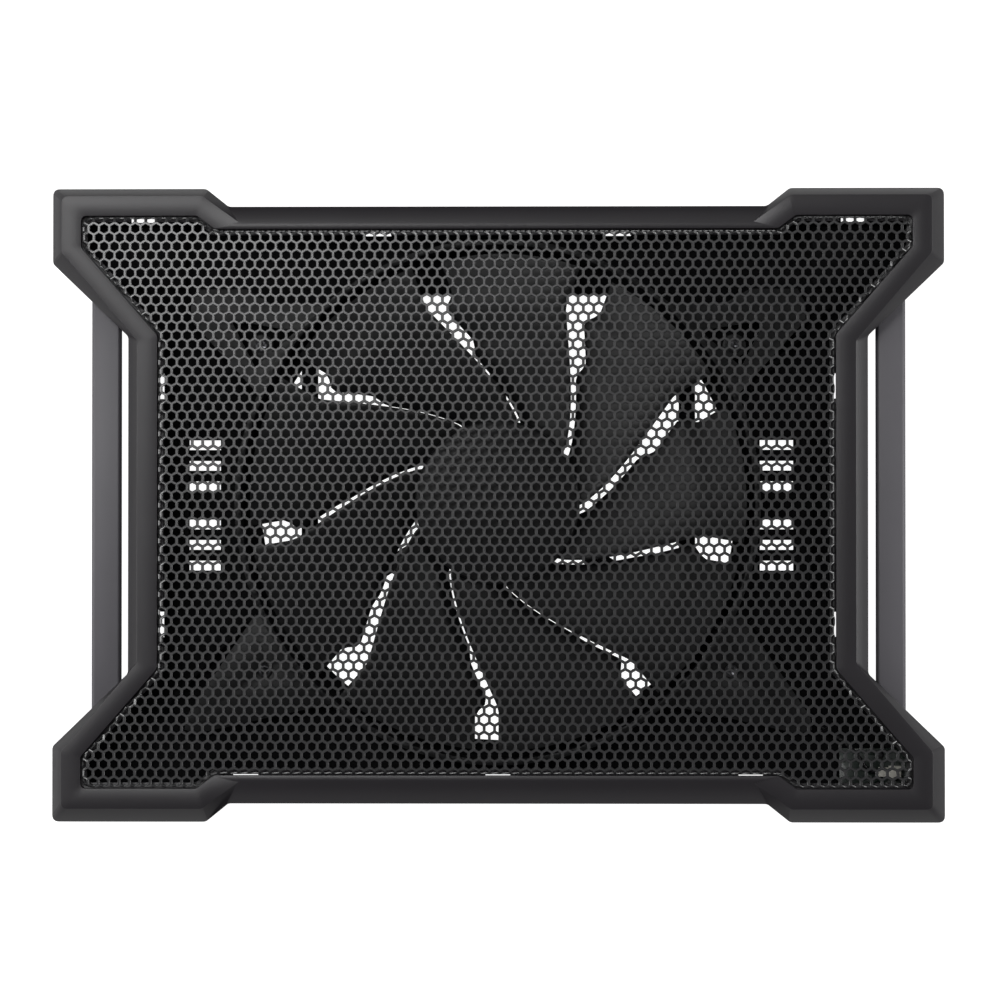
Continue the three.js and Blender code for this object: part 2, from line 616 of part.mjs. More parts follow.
function fanFrame() {
  const ring = tube(0, FAN_CENTRE_Y, RING_INNER, RING_OUTER, RING_BOTTOM, RING_TOP, ROUND_SIDES);
  const ears = [rearEar(-1), rearEar(1), frontEar(-1), frontEar(1)];
  const bore = rod(0, FAN_CENTRE_Y, RING_INNER, 0, RING_TOP + 1, ROUND_SIDES);
  const outerParts = united([ring, ...ears]).subtract(bore);
  const strutStart = SEAT_RADIUS - 2 * SEAT_RIM;
  const struts = STRUT_ANGLES.map((angle) => (
    radialBar(angle, strutStart, RING_INNER + 1, STRUT_WIDTH, RING_BOTTOM, STRUT_TOP)
  ));
  const seat = rod(0, FAN_CENTRE_Y, SEAT_RADIUS, RING_BOTTOM, SEAT_TOP, 40);
  const rim = tube(0, FAN_CENTRE_Y, SEAT_RADIUS - SEAT_RIM, SEAT_RADIUS, RING_BOTTOM, STRUT_TOP, 40);
  const bearingTube = rod(0, FAN_CENTRE_Y, BEARING_TUBE_RADIUS, SEAT_TOP - 1, BEARING_TUBE_TOP);
  const clear = LEAD_RADIUS + GAP;
  const groove = radialBar(LEAD_STRUT_ANGLE, LEAD_GROOVE.start, LEAD_GROOVE.end, 2 * clear,
    LEAD_HEIGHT - clear, LEAD_HEIGHT + clear);
  const holes = earScrewPlaces().map(([x, y]) => rod(x, y, SCREW_HOLE_RADIUS, 0, EAR_TOP + 1, 12));
  return cutBy(united([outerParts, ...struts, seat, rim, bearingTube]), [
    rod(0, FAN_CENTRE_Y, BEARING_BORE, 0, BEARING_TUBE_TOP + 1), groove, ...holes,
  ]);
}

// The angle, in degrees, of the space between two blades at a radius.
function sweepAngle(radius) {
  const reach = THREE.MathUtils.clamp(radius, HUB_RADIUS, SWEEP_END_RADIUS) - HUB_RADIUS;
  return SWEEP_START + SWEEP_TURN * (1 - Math.exp(-reach / SWEEP_LENGTH));
}

// The edges of the space before a blade's number at a radius, as angles: its blade's and its neighbour's.
function gapEdges(number, radius) {
  const [width, widening] = BLADE_GAPS[number % BLADE_COUNT];
  const middle = sweepAngle(radius) + number * 360 / BLADE_COUNT;
  const grown = ({ start, length }) => THREE.MathUtils.smoothstep(radius, start, start + length);
  const opened = widening * grown(GAP_WIDENING);
  const corner = TIP_CORNER.width * grown(TIP_CORNER);
  return [
    middle + THREE.MathUtils.radToDeg(width / 2 / radius),
    middle - THREE.MathUtils.radToDeg((width / 2 + opened + corner) / radius),
  ];
}

// One blade as a curved plate: high on its trailing edge, low on its leading edge.
function blade(number) {
  const rootRadius = HUB_RADIUS - 1;
  const points = [];
  for (const drop of [0, BLADE_THICKNESS]) {
    for (let i = 0; i <= BLADE_STATIONS; i += 1) {
      const radius = rootRadius + (BLADE_TIP - rootRadius) * (i / BLADE_STATIONS);
      const [start] = gapEdges(number, radius);
      const [, end] = gapEdges(number + 1, radius);
      for (let j = 0; j <= BLADE_CHORD_STEPS; j += 1) {
        const part = j / BLADE_CHORD_STEPS;
        const [x, y] = polar(radius, start + (end - start) * part);
        const z = BLADE_HIGH_Z + (BLADE_LOW_Z + BLADE_THICKNESS - BLADE_HIGH_Z) * part - drop;
        points.push(new THREE.Vector3(x, y + FAN_CENTRE_Y, z));
      }
    }
  }
  const row = BLADE_CHORD_STEPS + 1;
  const under = row * (BLADE_STATIONS + 1);
  const index = [];
  const quad = (a, b, c, d) => index.push(a, b, c, a, c, d);
  for (let i = 0; i < BLADE_STATIONS; i += 1) {
    for (let j = 0; j < BLADE_CHORD_STEPS; j += 1) {
      const a = i * row + j;
      quad(a, a + row, a + row + 1, a + 1);
      quad(under + a, under + a + 1, under + a + row + 1, under + a + row);
    }
    const first = i * row;
    const last = first + BLADE_CHORD_STEPS;
    quad(first, under + first, under + first + row, first + row);
    quad(last, last + row, under + last + row, under + last);
  }
  for (let j = 0; j < BLADE_CHORD_STEPS; j += 1) {
    const tip = BLADE_STATIONS * row + j;
    quad(j, j + 1, under + j + 1, under + j);
    quad(tip, under + tip, under + tip + 1, tip + 1);
  }
  const geometry = new THREE.BufferGeometry().setFromPoints(points);
  geometry.setIndex(index);
  return solid(geometry);
}

function fanRotor() {
  const cup = turned([
    [0, HUB_PLATE_BOTTOM], [HUB_RADIUS - HUB_WALL, HUB_PLATE_BOTTOM], [HUB_RADIUS - HUB_WALL, HUB_BOTTOM],
    [HUB_RADIUS, HUB_BOTTOM], [HUB_RADIUS, HUB_TOP - HUB_RIM], [HUB_RADIUS - HUB_RIM, HUB_TOP],
    [0, HUB_TOP],
  ], 0, FAN_CENTRE_Y, 48);
  const seatInner = YOKE_OUTER + GAP;
  const yokeSeat = tube(0, FAN_CENTRE_Y, seatInner, seatInner + YOKE_SEAT_WALL, HUB_BOTTOM, HUB_PLATE_BOTTOM + 0.5);
  const shaftBoss = rod(0, FAN_CENTRE_Y, SHAFT_BOSS_RADIUS, BEARING_TUBE_TOP + GAP, HUB_PLATE_BOTTOM + 0.5);
  const blades = Array.from({ length: BLADE_COUNT }, (_, number) => blade(number));
  const hollow = rod(0, FAN_CENTRE_Y, HUB_RADIUS - HUB_WALL, HUB_BOTTOM - 1, HUB_PLATE_BOTTOM, 48);
  const bladed = united([cup, ...blades.map((one) => one.subtract(hollow))]);
  const shaftHole = rod(0, FAN_CENTRE_Y, SHAFT_RADIUS + GAP, 0, HUB_TOP - 0.9, 12);
  return united([bladed, yokeSeat, shaftBoss]).subtract(shaftHole);
}

function statorCore() {
  const { radius, depth, width } = POLE_HEAD;
  const poles = [];
  for (let i = 0; i < POLE_COUNT; i += 1) {
    const angle = i * 360 / POLE_COUNT;
    const armEnd = POLE_LENGTH / 2 + POLE_LENGTH;
    poles.push(radialBar(angle, POLE_LENGTH / 2, armEnd, POLE_WIDTH, STATOR_BOTTOM, STATOR_TOP));
    const head = radialBar(angle, radius - depth / 2, radius + depth / 2, width, STATOR_BOTTOM, STATOR_TOP);
    poles.push(head.intersect(rod(0, FAN_CENTRE_Y, STATOR_RADIUS, 0, HUB_TOP, 40)));
  }
  const middle = rod(0, FAN_CENTRE_Y, STATOR_HUB_RADIUS, STATOR_BOTTOM, STATOR_TOP, 24);
  return united([middle, ...poles]).subtract(rod(0, FAN_CENTRE_Y, BEARING_TUBE_RADIUS + GAP, 0, HUB_TOP));
}

function statorCoil(number) {
  const angle = number * 360 / POLE_COUNT;
  const width = POLE_WIDTH + 2 * GAP;
  const outer = radialBar(angle, COIL_START, COIL_END, width + 2 * COIL_THICKNESS,
    STATOR_BOTTOM - GAP - COIL_THICKNESS, STATOR_TOP + GAP + COIL_THICKNESS);
  const inner = radialBar(angle, COIL_START - 1, COIL_END + 1, width, STATOR_BOTTOM - GAP, STATOR_TOP + GAP);
  const wedgeCorners = [-COIL_SPREAD, COIL_SPREAD].map((spread) => {
    const [wedgeX, wedgeY] = polar(HUB_RADIUS * 2, angle + spread);
    return [wedgeX, wedgeY + FAN_CENTRE_Y];
  });
  const wedge = prism([[0, FAN_CENTRE_Y], ...wedgeCorners], 0, HUB_TOP);
  return outer.subtract(inner).intersect(wedge);
}

// ---------------------------------------------------------------- small pieces

// A pan-head screw with its shank down, its head standing on a height.
function screwDown(x, y, seatZ, length) {
  const top = seatZ + SCREW_HEAD_HEIGHT;
  return turned([
    [0, seatZ - length], [SCREW_SHANK_RADIUS, seatZ - length], [SCREW_SHANK_RADIUS, seatZ],
    [SCREW_HEAD_RADIUS, seatZ], [SCREW_HEAD_RADIUS, top - 0.6], [SCREW_HEAD_RADIUS - 0.9, top], [0, top],
  ], x, y, SCREW_SIDES).subtract(crossRecess(x, y, top - RECESS.depth, top + 1));
}

// The same screw driven from below, its head under a height.
function screwUp(x, y, seatZ, length) {
  const bottom = seatZ - SCREW_HEAD_HEIGHT;
  return turned([
    [0, bottom], [SCREW_HEAD_RADIUS - 0.9, bottom], [SCREW_HEAD_RADIUS, bottom + 0.6], [SCREW_HEAD_RADIUS, seatZ],
    [SCREW_SHANK_RADIUS, seatZ], [SCREW_SHANK_RADIUS, seatZ + length], [0, seatZ + length],
  ], x, y, SCREW_SIDES).subtract(crossRecess(x, y, bottom - 1, bottom + RECESS.depth));
}

function crossRecess(x, y, z0, z1) {
  const slit = (angle) => turnedBox(x, y, angle, RECESS.length, RECESS.width, z0, z1);
  return slit(0).add(slit(90));
}

function rubberPlaces() {
  return [[-RUBBER_X, -RUBBER_Y], [RUBBER_X, -RUBBER_Y], [-RUBBER_X, RUBBER_Y], [RUBBER_X, RUBBER_Y]];
}

function rubberPad(x, y, margin, z0, z1) {
  const radius = RUBBER_WIDTH / 2 + margin;
  const reach = RUBBER_LENGTH / 2 - RUBBER_WIDTH / 2;
  return united([
    box(x - reach, x + reach, y - radius, y + radius, z0, z1),
    rod(x - reach, y, radius, z0, z1, 16),
    rod(x + reach, y, radius, z0, z1, 16),
  ]);
}

function foldingLeg(side) {
  const x = side * LEG_X;
  const plateEnd = LEG_FREE_Y + LEG_TIP_THICKNESS + GAP;
  const plate = box(x - LEG_HALF_WIDTH, x + LEG_HALF_WIDTH, plateEnd, LEG_HINGE_Y, LEG_BOTTOM, LEG_TOP);
  const barrel = rodAlongX(x - LEG_HALF_WIDTH, x + LEG_HALF_WIDTH, LEG_HINGE_Y, LEG_HINGE_Z, LEG_BARREL_RADIUS);
  const pockets = [-1, 0, 1].map((step) => {
    const middle = x + step * LEG_POCKET.pitch;
    return box(middle - LEG_POCKET.half, middle + LEG_POCKET.half, plateEnd + LEG_POCKET.skin,
      LEG_HINGE_Y - LEG_POCKET.barrelSide, 0, LEG_TOP - LEG_POCKET.skin);
  });
  const bore = rodAlongX(x - 30, x + 30, LEG_HINGE_Y, LEG_HINGE_Z, LEG_PIN_HOLE, 12);
  return cutBy(plate.add(barrel), [...pockets, bore]);
}

function socketShell(socket) {
  const back = SOCKET_FACE_X - socket.depth;
  const outer = box(back, SOCKET_FACE_X, socket.y - socket.halfWidth, socket.y + socket.halfWidth,
    socket.z0, socket.z1);
  const inside = socket.halfWidth - SOCKET_WALL;
  const mouth = box(back + 1.5, SOCKET_FACE_X + 1, socket.y - inside, socket.y + inside,
    socket.z0 + SOCKET_WALL, socket.z1 - SOCKET_WALL);
  const tongueReach = socket.halfWidth - 1.4;
  const tongueMiddle = (socket.z0 + socket.z1) / 2;
  const tongue = box(back + 1, SOCKET_FACE_X - 1.2, socket.y - tongueReach, socket.y + tongueReach,
    tongueMiddle - 0.1, tongueMiddle + 1);
  return outer.subtract(mouth).add(tongue);
}

function controlBoard() {
  return cutBy(block(BOARD), BOARD_SCREWS.map(([x, y]) => rod(x, y, BOARD_HOLE_RADIUS, 0, BOARD.z1 + 1, 12)));
}

function switchBody() {
  return block(SWITCH).subtract(box(KNOB.x0 - GAP, KNOB.x1 + KNOB_TRAVEL + GAP, SWITCH.y0 - 1, KNOB.y1 + GAP,
    KNOB.z0 - GAP, KNOB.z1 + GAP));
}

function boardScrew([x, y]) {
  const seat = BOARD.z1 + GAP;
  const { shank, head, crown, height, depth } = BOARD_SCREW;
  return turned([
    [0, FLOOR_TOP - depth], [shank, FLOOR_TOP - depth], [shank, seat], [head, seat], [head, seat + height * 0.6],
    [crown, seat + height], [0, seat + height],
  ], x, y, 12);
}

// The lead lies in its strut, passes under the front ear and follows the floor to its plug.
function fanLead() {
  const inStrut = LEAD_STRUT_RADII.map((radius) => {
    const [x, y] = polar(radius, LEAD_STRUT_ANGLE);
    return new THREE.Vector3(x, y + FAN_CENTRE_Y, LEAD_HEIGHT);
  });
  const onFloor = LEAD_FLOOR_POINTS.map(([x, y, z]) => new THREE.Vector3(x, y, z));
  const route = new THREE.CatmullRomCurve3([...inStrut, ...onFloor], false, 'centripetal');
  const section = new THREE.Shape(Array.from({ length: 8 }, (_, i) => {
    const angle = i * Math.PI / 4;
    return new THREE.Vector2(LEAD_RADIUS * Math.cos(angle), LEAD_RADIUS * Math.sin(angle));
  }));
  const geometry = new THREE.ExtrudeGeometry(section, { steps: LEAD_STEPS, extrudePath: route });
  return solid(geometry);
}

// ---------------------------------------------------------------- finishes

const FINISH = {
  casing: { color: 0x2b2b2e, roughness: 0.55, metalness: 0 },
  base: { color: 0x1c1c1e, roughness: 0.65, metalness: 0 },
  mesh: { color: 0x161618, roughness: 0.45, metalness: 0.6 },
  rotor: { color: 0x232326, roughness: 0.4, metalness: 0 },
  steel: { color: 0x9a9ca0, roughness: 0.35, metalness: 1 },
  screw: { color: 0x3a3a3d, roughness: 0.4, metalness: 0.9 },
  magnet: { color: 0x3c3a38, roughness: 0.7, metalness: 0.2 },
  bronze: { color: 0xa07a48, roughness: 0.5, metalness: 0.9 },
  copper: { color: 0xb0622f, roughness: 0.4, metalness: 0.9 },
  board: { color: 0x1f5a35, roughness: 0.5, metalness: 0 },
  rubber: { color: 0x151515, roughness: 0.9, metalness: 0 },
  white: { color: 0xd8d6cf, roughness: 0.5, metalness: 0 },
  lead: { color: 0x111112, roughness: 0.35, metalness: 0 },
};

const coolingPad = new THREE.Group();

function add(name, shape, finish) {
  const mesh = new THREE.Mesh(geometryOf(shape), new THREE.MeshStandardMaterial(FINISH[finish]));
  mesh.name = name;
  coolingPad.add(mesh);
}

// ---------------------------------------------------------------- assembly

add('base_tray', baseTray(), 'base');
add('top_frame', topFrame(), 'casing');
add('mesh_panel', meshPanel(), 'mesh');
add('left_side_bar', sideBar(-1), 'casing');
add('right_side_bar', sideBar(1), 'casing');

add('fan_frame', fanFrame(), 'rotor');
add('fan_rotor', fanRotor(), 'rotor');
add('rotor_yoke', tube(0, FAN_CENTRE_Y, YOKE_INNER, YOKE_OUTER, HUB_BOTTOM, HUB_PLATE_BOTTOM - GAP), 'steel');
add('rotor_magnet', tube(0, FAN_CENTRE_Y, MAGNET_INNER, MAGNET_OUTER, HUB_BOTTOM, MAGNET_TOP), 'magnet');
add('rotor_shaft', rod(0, FAN_CENTRE_Y, SHAFT_RADIUS, SHAFT_BOTTOM, HUB_TOP - HUB_RIM, 12), 'steel');
add('shaft_clip', tube(0, FAN_CENTRE_Y, SHAFT_RADIUS + GAP, CLIP.radius, CLIP.z0, CLIP.z1, 16), 'white');
add('bearing_sleeve', tube(0, FAN_CENTRE_Y, SHAFT_RADIUS + GAP, BEARING_RADIUS, SLEEVE.z0, SLEEVE.z1, 20), 'bronze');
add('stator_core', statorCore(), 'steel');
for (let i = 0; i < POLE_COUNT; i += 1) {
  add(`stator_coil_${i + 1}`, statorCoil(i), 'copper');
}
add('motor_board', tube(0, FAN_CENTRE_Y, BEARING_TUBE_RADIUS + GAP, MOTOR_BOARD.radius, SEAT_TOP + GAP,
  MOTOR_BOARD.top), 'board');

earScrewPlaces().forEach(([x, y], i) => {
  add(`fan_screw_${i + 1}`, screwDown(x, y, EAR_TOP + GAP, FAN_SCREW_LENGTH), 'screw');
});
CASE_SCREWS.forEach(([x, y], i) => {
  add(`case_screw_${i + 1}`, screwUp(x, y, CASE_SEAT_Z - GAP, CASE_SCREW_LENGTH), 'screw');
});

rubberPlaces().forEach(([x, y]) => {
  const name = `${y < 0 ? 'front' : 'rear'}_foot_${x < 0 ? 'left' : 'right'}`;
  add(name, rubberPad(x, y, 0, 0, RUBBER_TOP), 'rubber');
});

for (const [side, word] of [[-1, 'left'], [1, 'right']]) {
  const x = side * LEG_X;
  const pinReach = LEG_BAY_HALF_WIDTH + LEG_BAY_CHEEK - 1 - GAP;
  add(`${word}_leg`, foldingLeg(side), 'casing');
  add(`${word}_leg_pin`, rodAlongX(x - pinReach, x + pinReach, LEG_HINGE_Y, LEG_HINGE_Z, LEG_PIN_RADIUS, 12), 'steel');
  add(`${word}_leg_tip`, box(x - LEG_HALF_WIDTH, x + LEG_HALF_WIDTH, LEG_FREE_Y, LEG_FREE_Y + LEG_TIP_THICKNESS,
    LEG_BOTTOM, LEG_TOP), 'rubber');
}

add('control_board', controlBoard(), 'board');
BOARD_SCREWS.forEach((place, i) => add(`board_screw_${i + 1}`, boardScrew(place), 'screw'));
add('usb_port', socketShell(USB), 'steel');
add('power_inlet', socketShell(INLET), 'steel');
add('switch_body', switchBody(), 'steel');
add('switch_knob', block(KNOB), 'rotor');
add('lead_header', block(HEADER), 'white');
add('lead_plug', block(PLUG), 'white');
add('fan_lead', fanLead(), 'lead');

export default coolingPad;
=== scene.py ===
"""Looks of the laptop cooling pad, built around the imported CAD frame. Metres, +Z up, rear at +Y."""

import json
import math

import bmesh
import bpy
import numpy as np
from mathutils import Matrix, Vector


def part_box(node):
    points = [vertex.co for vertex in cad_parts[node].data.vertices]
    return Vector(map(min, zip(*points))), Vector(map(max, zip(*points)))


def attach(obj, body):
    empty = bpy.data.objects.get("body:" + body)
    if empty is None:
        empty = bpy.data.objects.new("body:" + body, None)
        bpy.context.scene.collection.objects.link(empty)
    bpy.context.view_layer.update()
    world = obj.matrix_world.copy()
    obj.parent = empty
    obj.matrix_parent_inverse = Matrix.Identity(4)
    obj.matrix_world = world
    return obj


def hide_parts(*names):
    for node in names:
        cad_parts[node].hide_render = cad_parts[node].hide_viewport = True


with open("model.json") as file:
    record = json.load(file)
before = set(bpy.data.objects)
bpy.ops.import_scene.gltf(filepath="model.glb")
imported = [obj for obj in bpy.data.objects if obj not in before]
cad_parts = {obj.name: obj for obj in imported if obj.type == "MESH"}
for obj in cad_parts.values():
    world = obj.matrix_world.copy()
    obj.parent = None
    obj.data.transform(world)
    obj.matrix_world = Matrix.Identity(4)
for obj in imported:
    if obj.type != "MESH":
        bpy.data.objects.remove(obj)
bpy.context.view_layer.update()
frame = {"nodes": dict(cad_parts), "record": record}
nodes = frame["nodes"]

MM = 0.001

# ---------------------------------------------------------------- places taken from the frame

panel_low, panel_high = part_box("mesh_panel")
FRAME_BOTTOM = 13 * MM
FRAME_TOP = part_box("top_frame")[1].z
PANEL_TOP = panel_high.z
PANEL_LIP = panel_low.z
FAN_CENTRE = Vector((0, 1.2 * MM, 0))

# ---------------------------------------------------------------- driving dimensions

# The pad's outline in its quarter with +X and +Y, from the side to the rear, in millimetres
FOOT_CORNERS = [(157.2, 71.7), (190, 103), (190, 135), (124.4, 135), (114.2, 126.7)]
FOOT_HEIGHTS = [22, 17.4, 17.4, 17.4, 24.4]
TOP_CORNERS = [(152.3, 68.3), (184.5, 105.8), (184.5, 130), (124.8, 130), (108.6, 118.3)]
WINDOW_CORNERS = [(143.85, 70.8), (176.3, 108.1), (176.3, 121.5), (127, 121.5), (119.4, 115.85)]
TOP_SHIFT = (-0.5, 1.2)
OUTER_RADIUS = 3
WINDOW_RADIUS = 2.6
CORNER_STEPS = 7
FRAME_WALL = 2.2
FRAME_SHOULDER_Z = 16.4
FRAME_CEILING_Z = 22.2
CEILING_INSET = 4.8
LEDGE_WIDTH = 2.4
LEDGE_TOP = 23.9
SNAP_LENGTH = 11
SNAP_WIDTH = 2.3
SNAPS_ALONG_X = [
    (152.6, 122.8), (-152.6, 122.8), (51.5, 116.9), (-51.5, 116.9),
    (-108.5, -116.1), (0, -116.1), (108.5, -116.1),
]
SNAPS_ALONG_Y = [(144.8, 51.2), (144.8, -51.2), (-144.8, 51.2), (-144.8, -51.2)]
SNAP_LEAN = 0.986

# Posts under the bezel, for the screws of the lower case
POST_RADIUS = 3.2
POST_HOLE_RADIUS = 1.7
POST_BOTTOM = 8.3
CASE_SCREWS = [
    (137, 127.3), (-137, 127.3), (137, -127.3), (-137, -127.3), (0, 120.9), (55, -120.9), (-55, -120.9),
]

# Perforated sheet
PITCH_X = 4.42
PITCH_Y = 3.785
GRID_X = -1.1
GRID_Y = -0.16
HOLE_PART = 0.72
RIM_PART = 0.83
SHEET = 0.8
RIM_DROP = 0.28
ROLL_RADIUS = 1.9
PANEL_CLEARANCE = 0.5

# Fan
BLADE_COUNT = 9
BLADE_TIP = 106
HUB_RADIUS = 35
HUB_TOP = 22.6
HUB_BOTTOM = 10
BLADE_HIGH_Z = 20.6
BLADE_LOW_Z = 10.2
BLADE_THICKNESS = 1.4
SWEEP_START = -6
SWEEP_TURN = 46
SWEEP_LENGTH = 35
SWEEP_END_RADIUS = 88
# Each space between two blades, counterclockwise: its width near the hub and how much it widens outwards
BLADE_GAPS = [
    (3.8, 4.5), (2.6, 5.5), (1, 5), (0.6, 4), (1.8, 0.8), (3.6, 2.5), (1.2, 2.5), (0.6, 1), (2.4, 0.6),
]
WIDENING_START = 62
WIDENING_LENGTH = 9
TIP_CORNER_START = 84
TIP_CORNER_LENGTH = 8
TIP_CORNER_WIDTH = 6.5

# ---------------------------------------------------------------- camera and light


def aimed(location, target):
    """The matrix of a lamp or camera that stands at a place and looks at another, with the rear upwards."""
    back = (Vector(location) - Vector(target)).normalized()
    right = Vector((0, 1, 0)).cross(back).normalized()
    turn = Matrix((right, back.cross(right), back)).transposed()
    return Matrix.Translation(location) @ turn.to_4x4()


def add_camera():
    data = bpy.data.cameras.new("photo_camera")
    data.lens = 135
    data.sensor_width = 36
    camera = bpy.data.objects.new("photo_camera", data)
    camera.matrix_world = aimed((0.03, -0.02, 1.6145), (0.0010, 0.0021, 0.0174))
    bpy.context.scene.collection.objects.link(camera)
    bpy.context.scene.camera = camera


def add_softbox(name, location, target, width, height, power):
    data = bpy.data.lights.new(name, "AREA")
    data.shape = "RECTANGLE"
    data.size = width
    data.size_y = height
    data.energy = power
    lamp = bpy.data.objects.new(name, data)
    lamp.matrix_world = aimed(location, target)
    bpy.context.scene.collection.objects.link(lamp)


def add_world(level):
    world = bpy.data.worlds.new("studio")
    world.use_nodes = True
    background = world.node_tree.nodes["Background"]
    background.inputs["Color"].default_value = (1, 1, 1, 1)
    background.inputs["Strength"].default_value = level
    bpy.context.scene.world = world


def floor_material():
    """A lit pale table: it glows for the camera, and only reflects light onto the object."""
    material = bpy.data.materials.new("pale_table")
    material.use_nodes = True
    tree = material.node_tree
    tree.nodes.clear()
    output = tree.nodes.new("ShaderNodeOutputMaterial")
    seen = tree.nodes.new("ShaderNodeAddShader")
    glow = tree.nodes.new("ShaderNodeEmission")
    glow.inputs["Strength"].default_value = 1.0
    matte = tree.nodes.new("ShaderNodeBsdfDiffuse")
    matte.inputs["Color"].default_value = (0.35, 0.35, 0.35, 1)
    bounce = tree.nodes.new("ShaderNodeBsdfDiffuse")
    bounce.inputs["Color"].default_value = (0.55, 0.55, 0.55, 1)
    path = tree.nodes.new("ShaderNodeLightPath")
    choice = tree.nodes.new("ShaderNodeMixShader")
    tree.links.new(glow.outputs[0], seen.inputs[0])
    tree.links.new(matte.outputs[0], seen.inputs[1])
    tree.links.new(path.outputs["Is Camera Ray"], choice.inputs[0])
    tree.links.new(bounce.outputs[0], choice.inputs[1])
    tree.links.new(seen.outputs[0], choice.inputs[2])
    tree.links.new(choice.outputs[0], output.inputs[0])
    return material


def add_floor():
    reach = 3.0
    mesh = bpy.data.meshes.new("table")
    corners = [(-reach, -reach, 0), (reach, -reach, 0), (reach, reach, 0), (-reach, reach, 0)]
    mesh.from_pydata(corners, [], [(0, 1, 2, 3)])
    table = bpy.data.objects.new("table", mesh)
    mesh.materials.append(floor_material())
    bpy.context.scene.collection.objects.link(table)


add_camera()
add_softbox("key_softbox", (-0.46, 0.44, 1.50), (0, 0, 0), 0.70, 0.40, 9)
add_softbox("rear_softbox", (0, 1.05, 1.20), (0, 0, 0), 1.6, 0.6, 1.6)
add_softbox("front_softbox", (0, -1.15, 0.95), (0, 0, 0), 1.6, 0.5, 2.2)
add_softbox("left_softbox", (-1.15, 0.05, 0.62), (0, 0, 0.02), 1.1, 0.6, 10)
add_softbox("right_softbox", (1.15, 0.05, 0.62), (0, 0, 0.02), 1.1, 0.6, 11)
add_world(0.10)
add_floor()
bpy.context.scene.view_settings.view_transform = "Standard"

# ---------------------------------------------------------------- materials


def procedural(name, colour, shade, roughness, spread, grain, depth,
               metallic=0.0, coat=0.0, edge_wear_and_highlight=0.0, stretch=(1, 1, 1), specular=0.5):
    """A node material: mottled colour, uneven roughness, a fine grain as bump and lighter convex edges, which
    are real rubbed wear on the screws and a painted highlight on the casing and bars.

    grain is the grain's size in metres, and stretch pulls it along an axis, as brushing does."""
    material = bpy.data.materials.new(name)
    material.use_nodes = True
    tree = material.node_tree
    shader = tree.nodes["Principled BSDF"]
    shader.inputs["Metallic"].default_value = metallic
    shader.inputs["Specular IOR Level"].default_value = specular
    shader.inputs["Coat Weight"].default_value = coat
    shader.inputs["Coat Roughness"].default_value = 0.25
    place = tree.nodes.new("ShaderNodeTexCoord")
    mapping = tree.nodes.new("ShaderNodeMapping")
    mapping.inputs["Scale"].default_value = stretch
    tree.links.new(place.outputs["Object"], mapping.inputs["Vector"])

    def noise(scale, detail):
        node = tree.nodes.new("ShaderNodeTexNoise")
        node.inputs["Scale"].default_value = scale
        node.inputs["Detail"].default_value = detail
        tree.links.new(mapping.outputs["Vector"], node.inputs["Vector"])
        return node

    def ramp(source, low, high, first, last):
        node = tree.nodes.new("ShaderNodeValToRGB")
        node.color_ramp.elements[0].position = low
        node.color_ramp.elements[1].position = high
        node.color_ramp.elements[0].color = first
        node.color_ramp.elements[1].color = last
        tree.links.new(source, node.inputs["Fac"])
        return node

    cloud = noise(38, 4)
    fine = noise(1 / grain, 3)
    dark = tuple(c * (1 - shade) for c in colour) + (1,)
    light = tuple(c * (1 + shade) for c in colour) + (1,)
    tint = ramp(cloud.outputs["Fac"], 0.3, 0.7, dark, light)
    colour_out = tint.outputs["Color"]
    # Convex edges painted lighter: a painted highlight on the casing and side bars, real rubbed plating on the
    # screws
    if edge_wear_and_highlight > 0:
        geometry = tree.nodes.new("ShaderNodeNewGeometry")
        edge = ramp(geometry.outputs["Pointiness"], 0.52, 0.6, (0, 0, 0, 1), (1, 1, 1, 1))
        mix = tree.nodes.new("ShaderNodeMix")
        mix.data_type = "RGBA"
        worn_and_highlit_colour = tuple(min(1, c * (1 + 2.5 * edge_wear_and_highlight) + 0.02 * edge_wear_and_highlight) for c in colour) + (1,)
        mix.inputs["B"].default_value = worn_and_highlit_colour
        tree.links.new(edge.outputs["Color"], mix.inputs["Factor"])
        tree.links.new(colour_out, mix.inputs["A"])
        colour_out = mix.outputs["Result"]
    tree.links.new(colour_out, shader.inputs["Base Color"])
    spreading = tree.nodes.new("ShaderNodeMapRange")
    spreading.inputs["To Min"].default_value = roughness - spread
    spreading.inputs["To Max"].default_value = roughness + spread
    tree.links.new(fine.outputs["Fac"], spreading.inputs["Value"])
    tree.links.new(spreading.outputs["Result"], shader.inputs["Roughness"])
    bump = tree.nodes.new("ShaderNodeBump")
    bump.inputs["Strength"].default_value = 0.6
    bump.inputs["Distance"].default_value = depth
    tree.links.new(fine.outputs["Fac"], bump.inputs["Height"])
    tree.links.new(bump.outputs["Normal"], shader.inputs["Normal"])
    return material


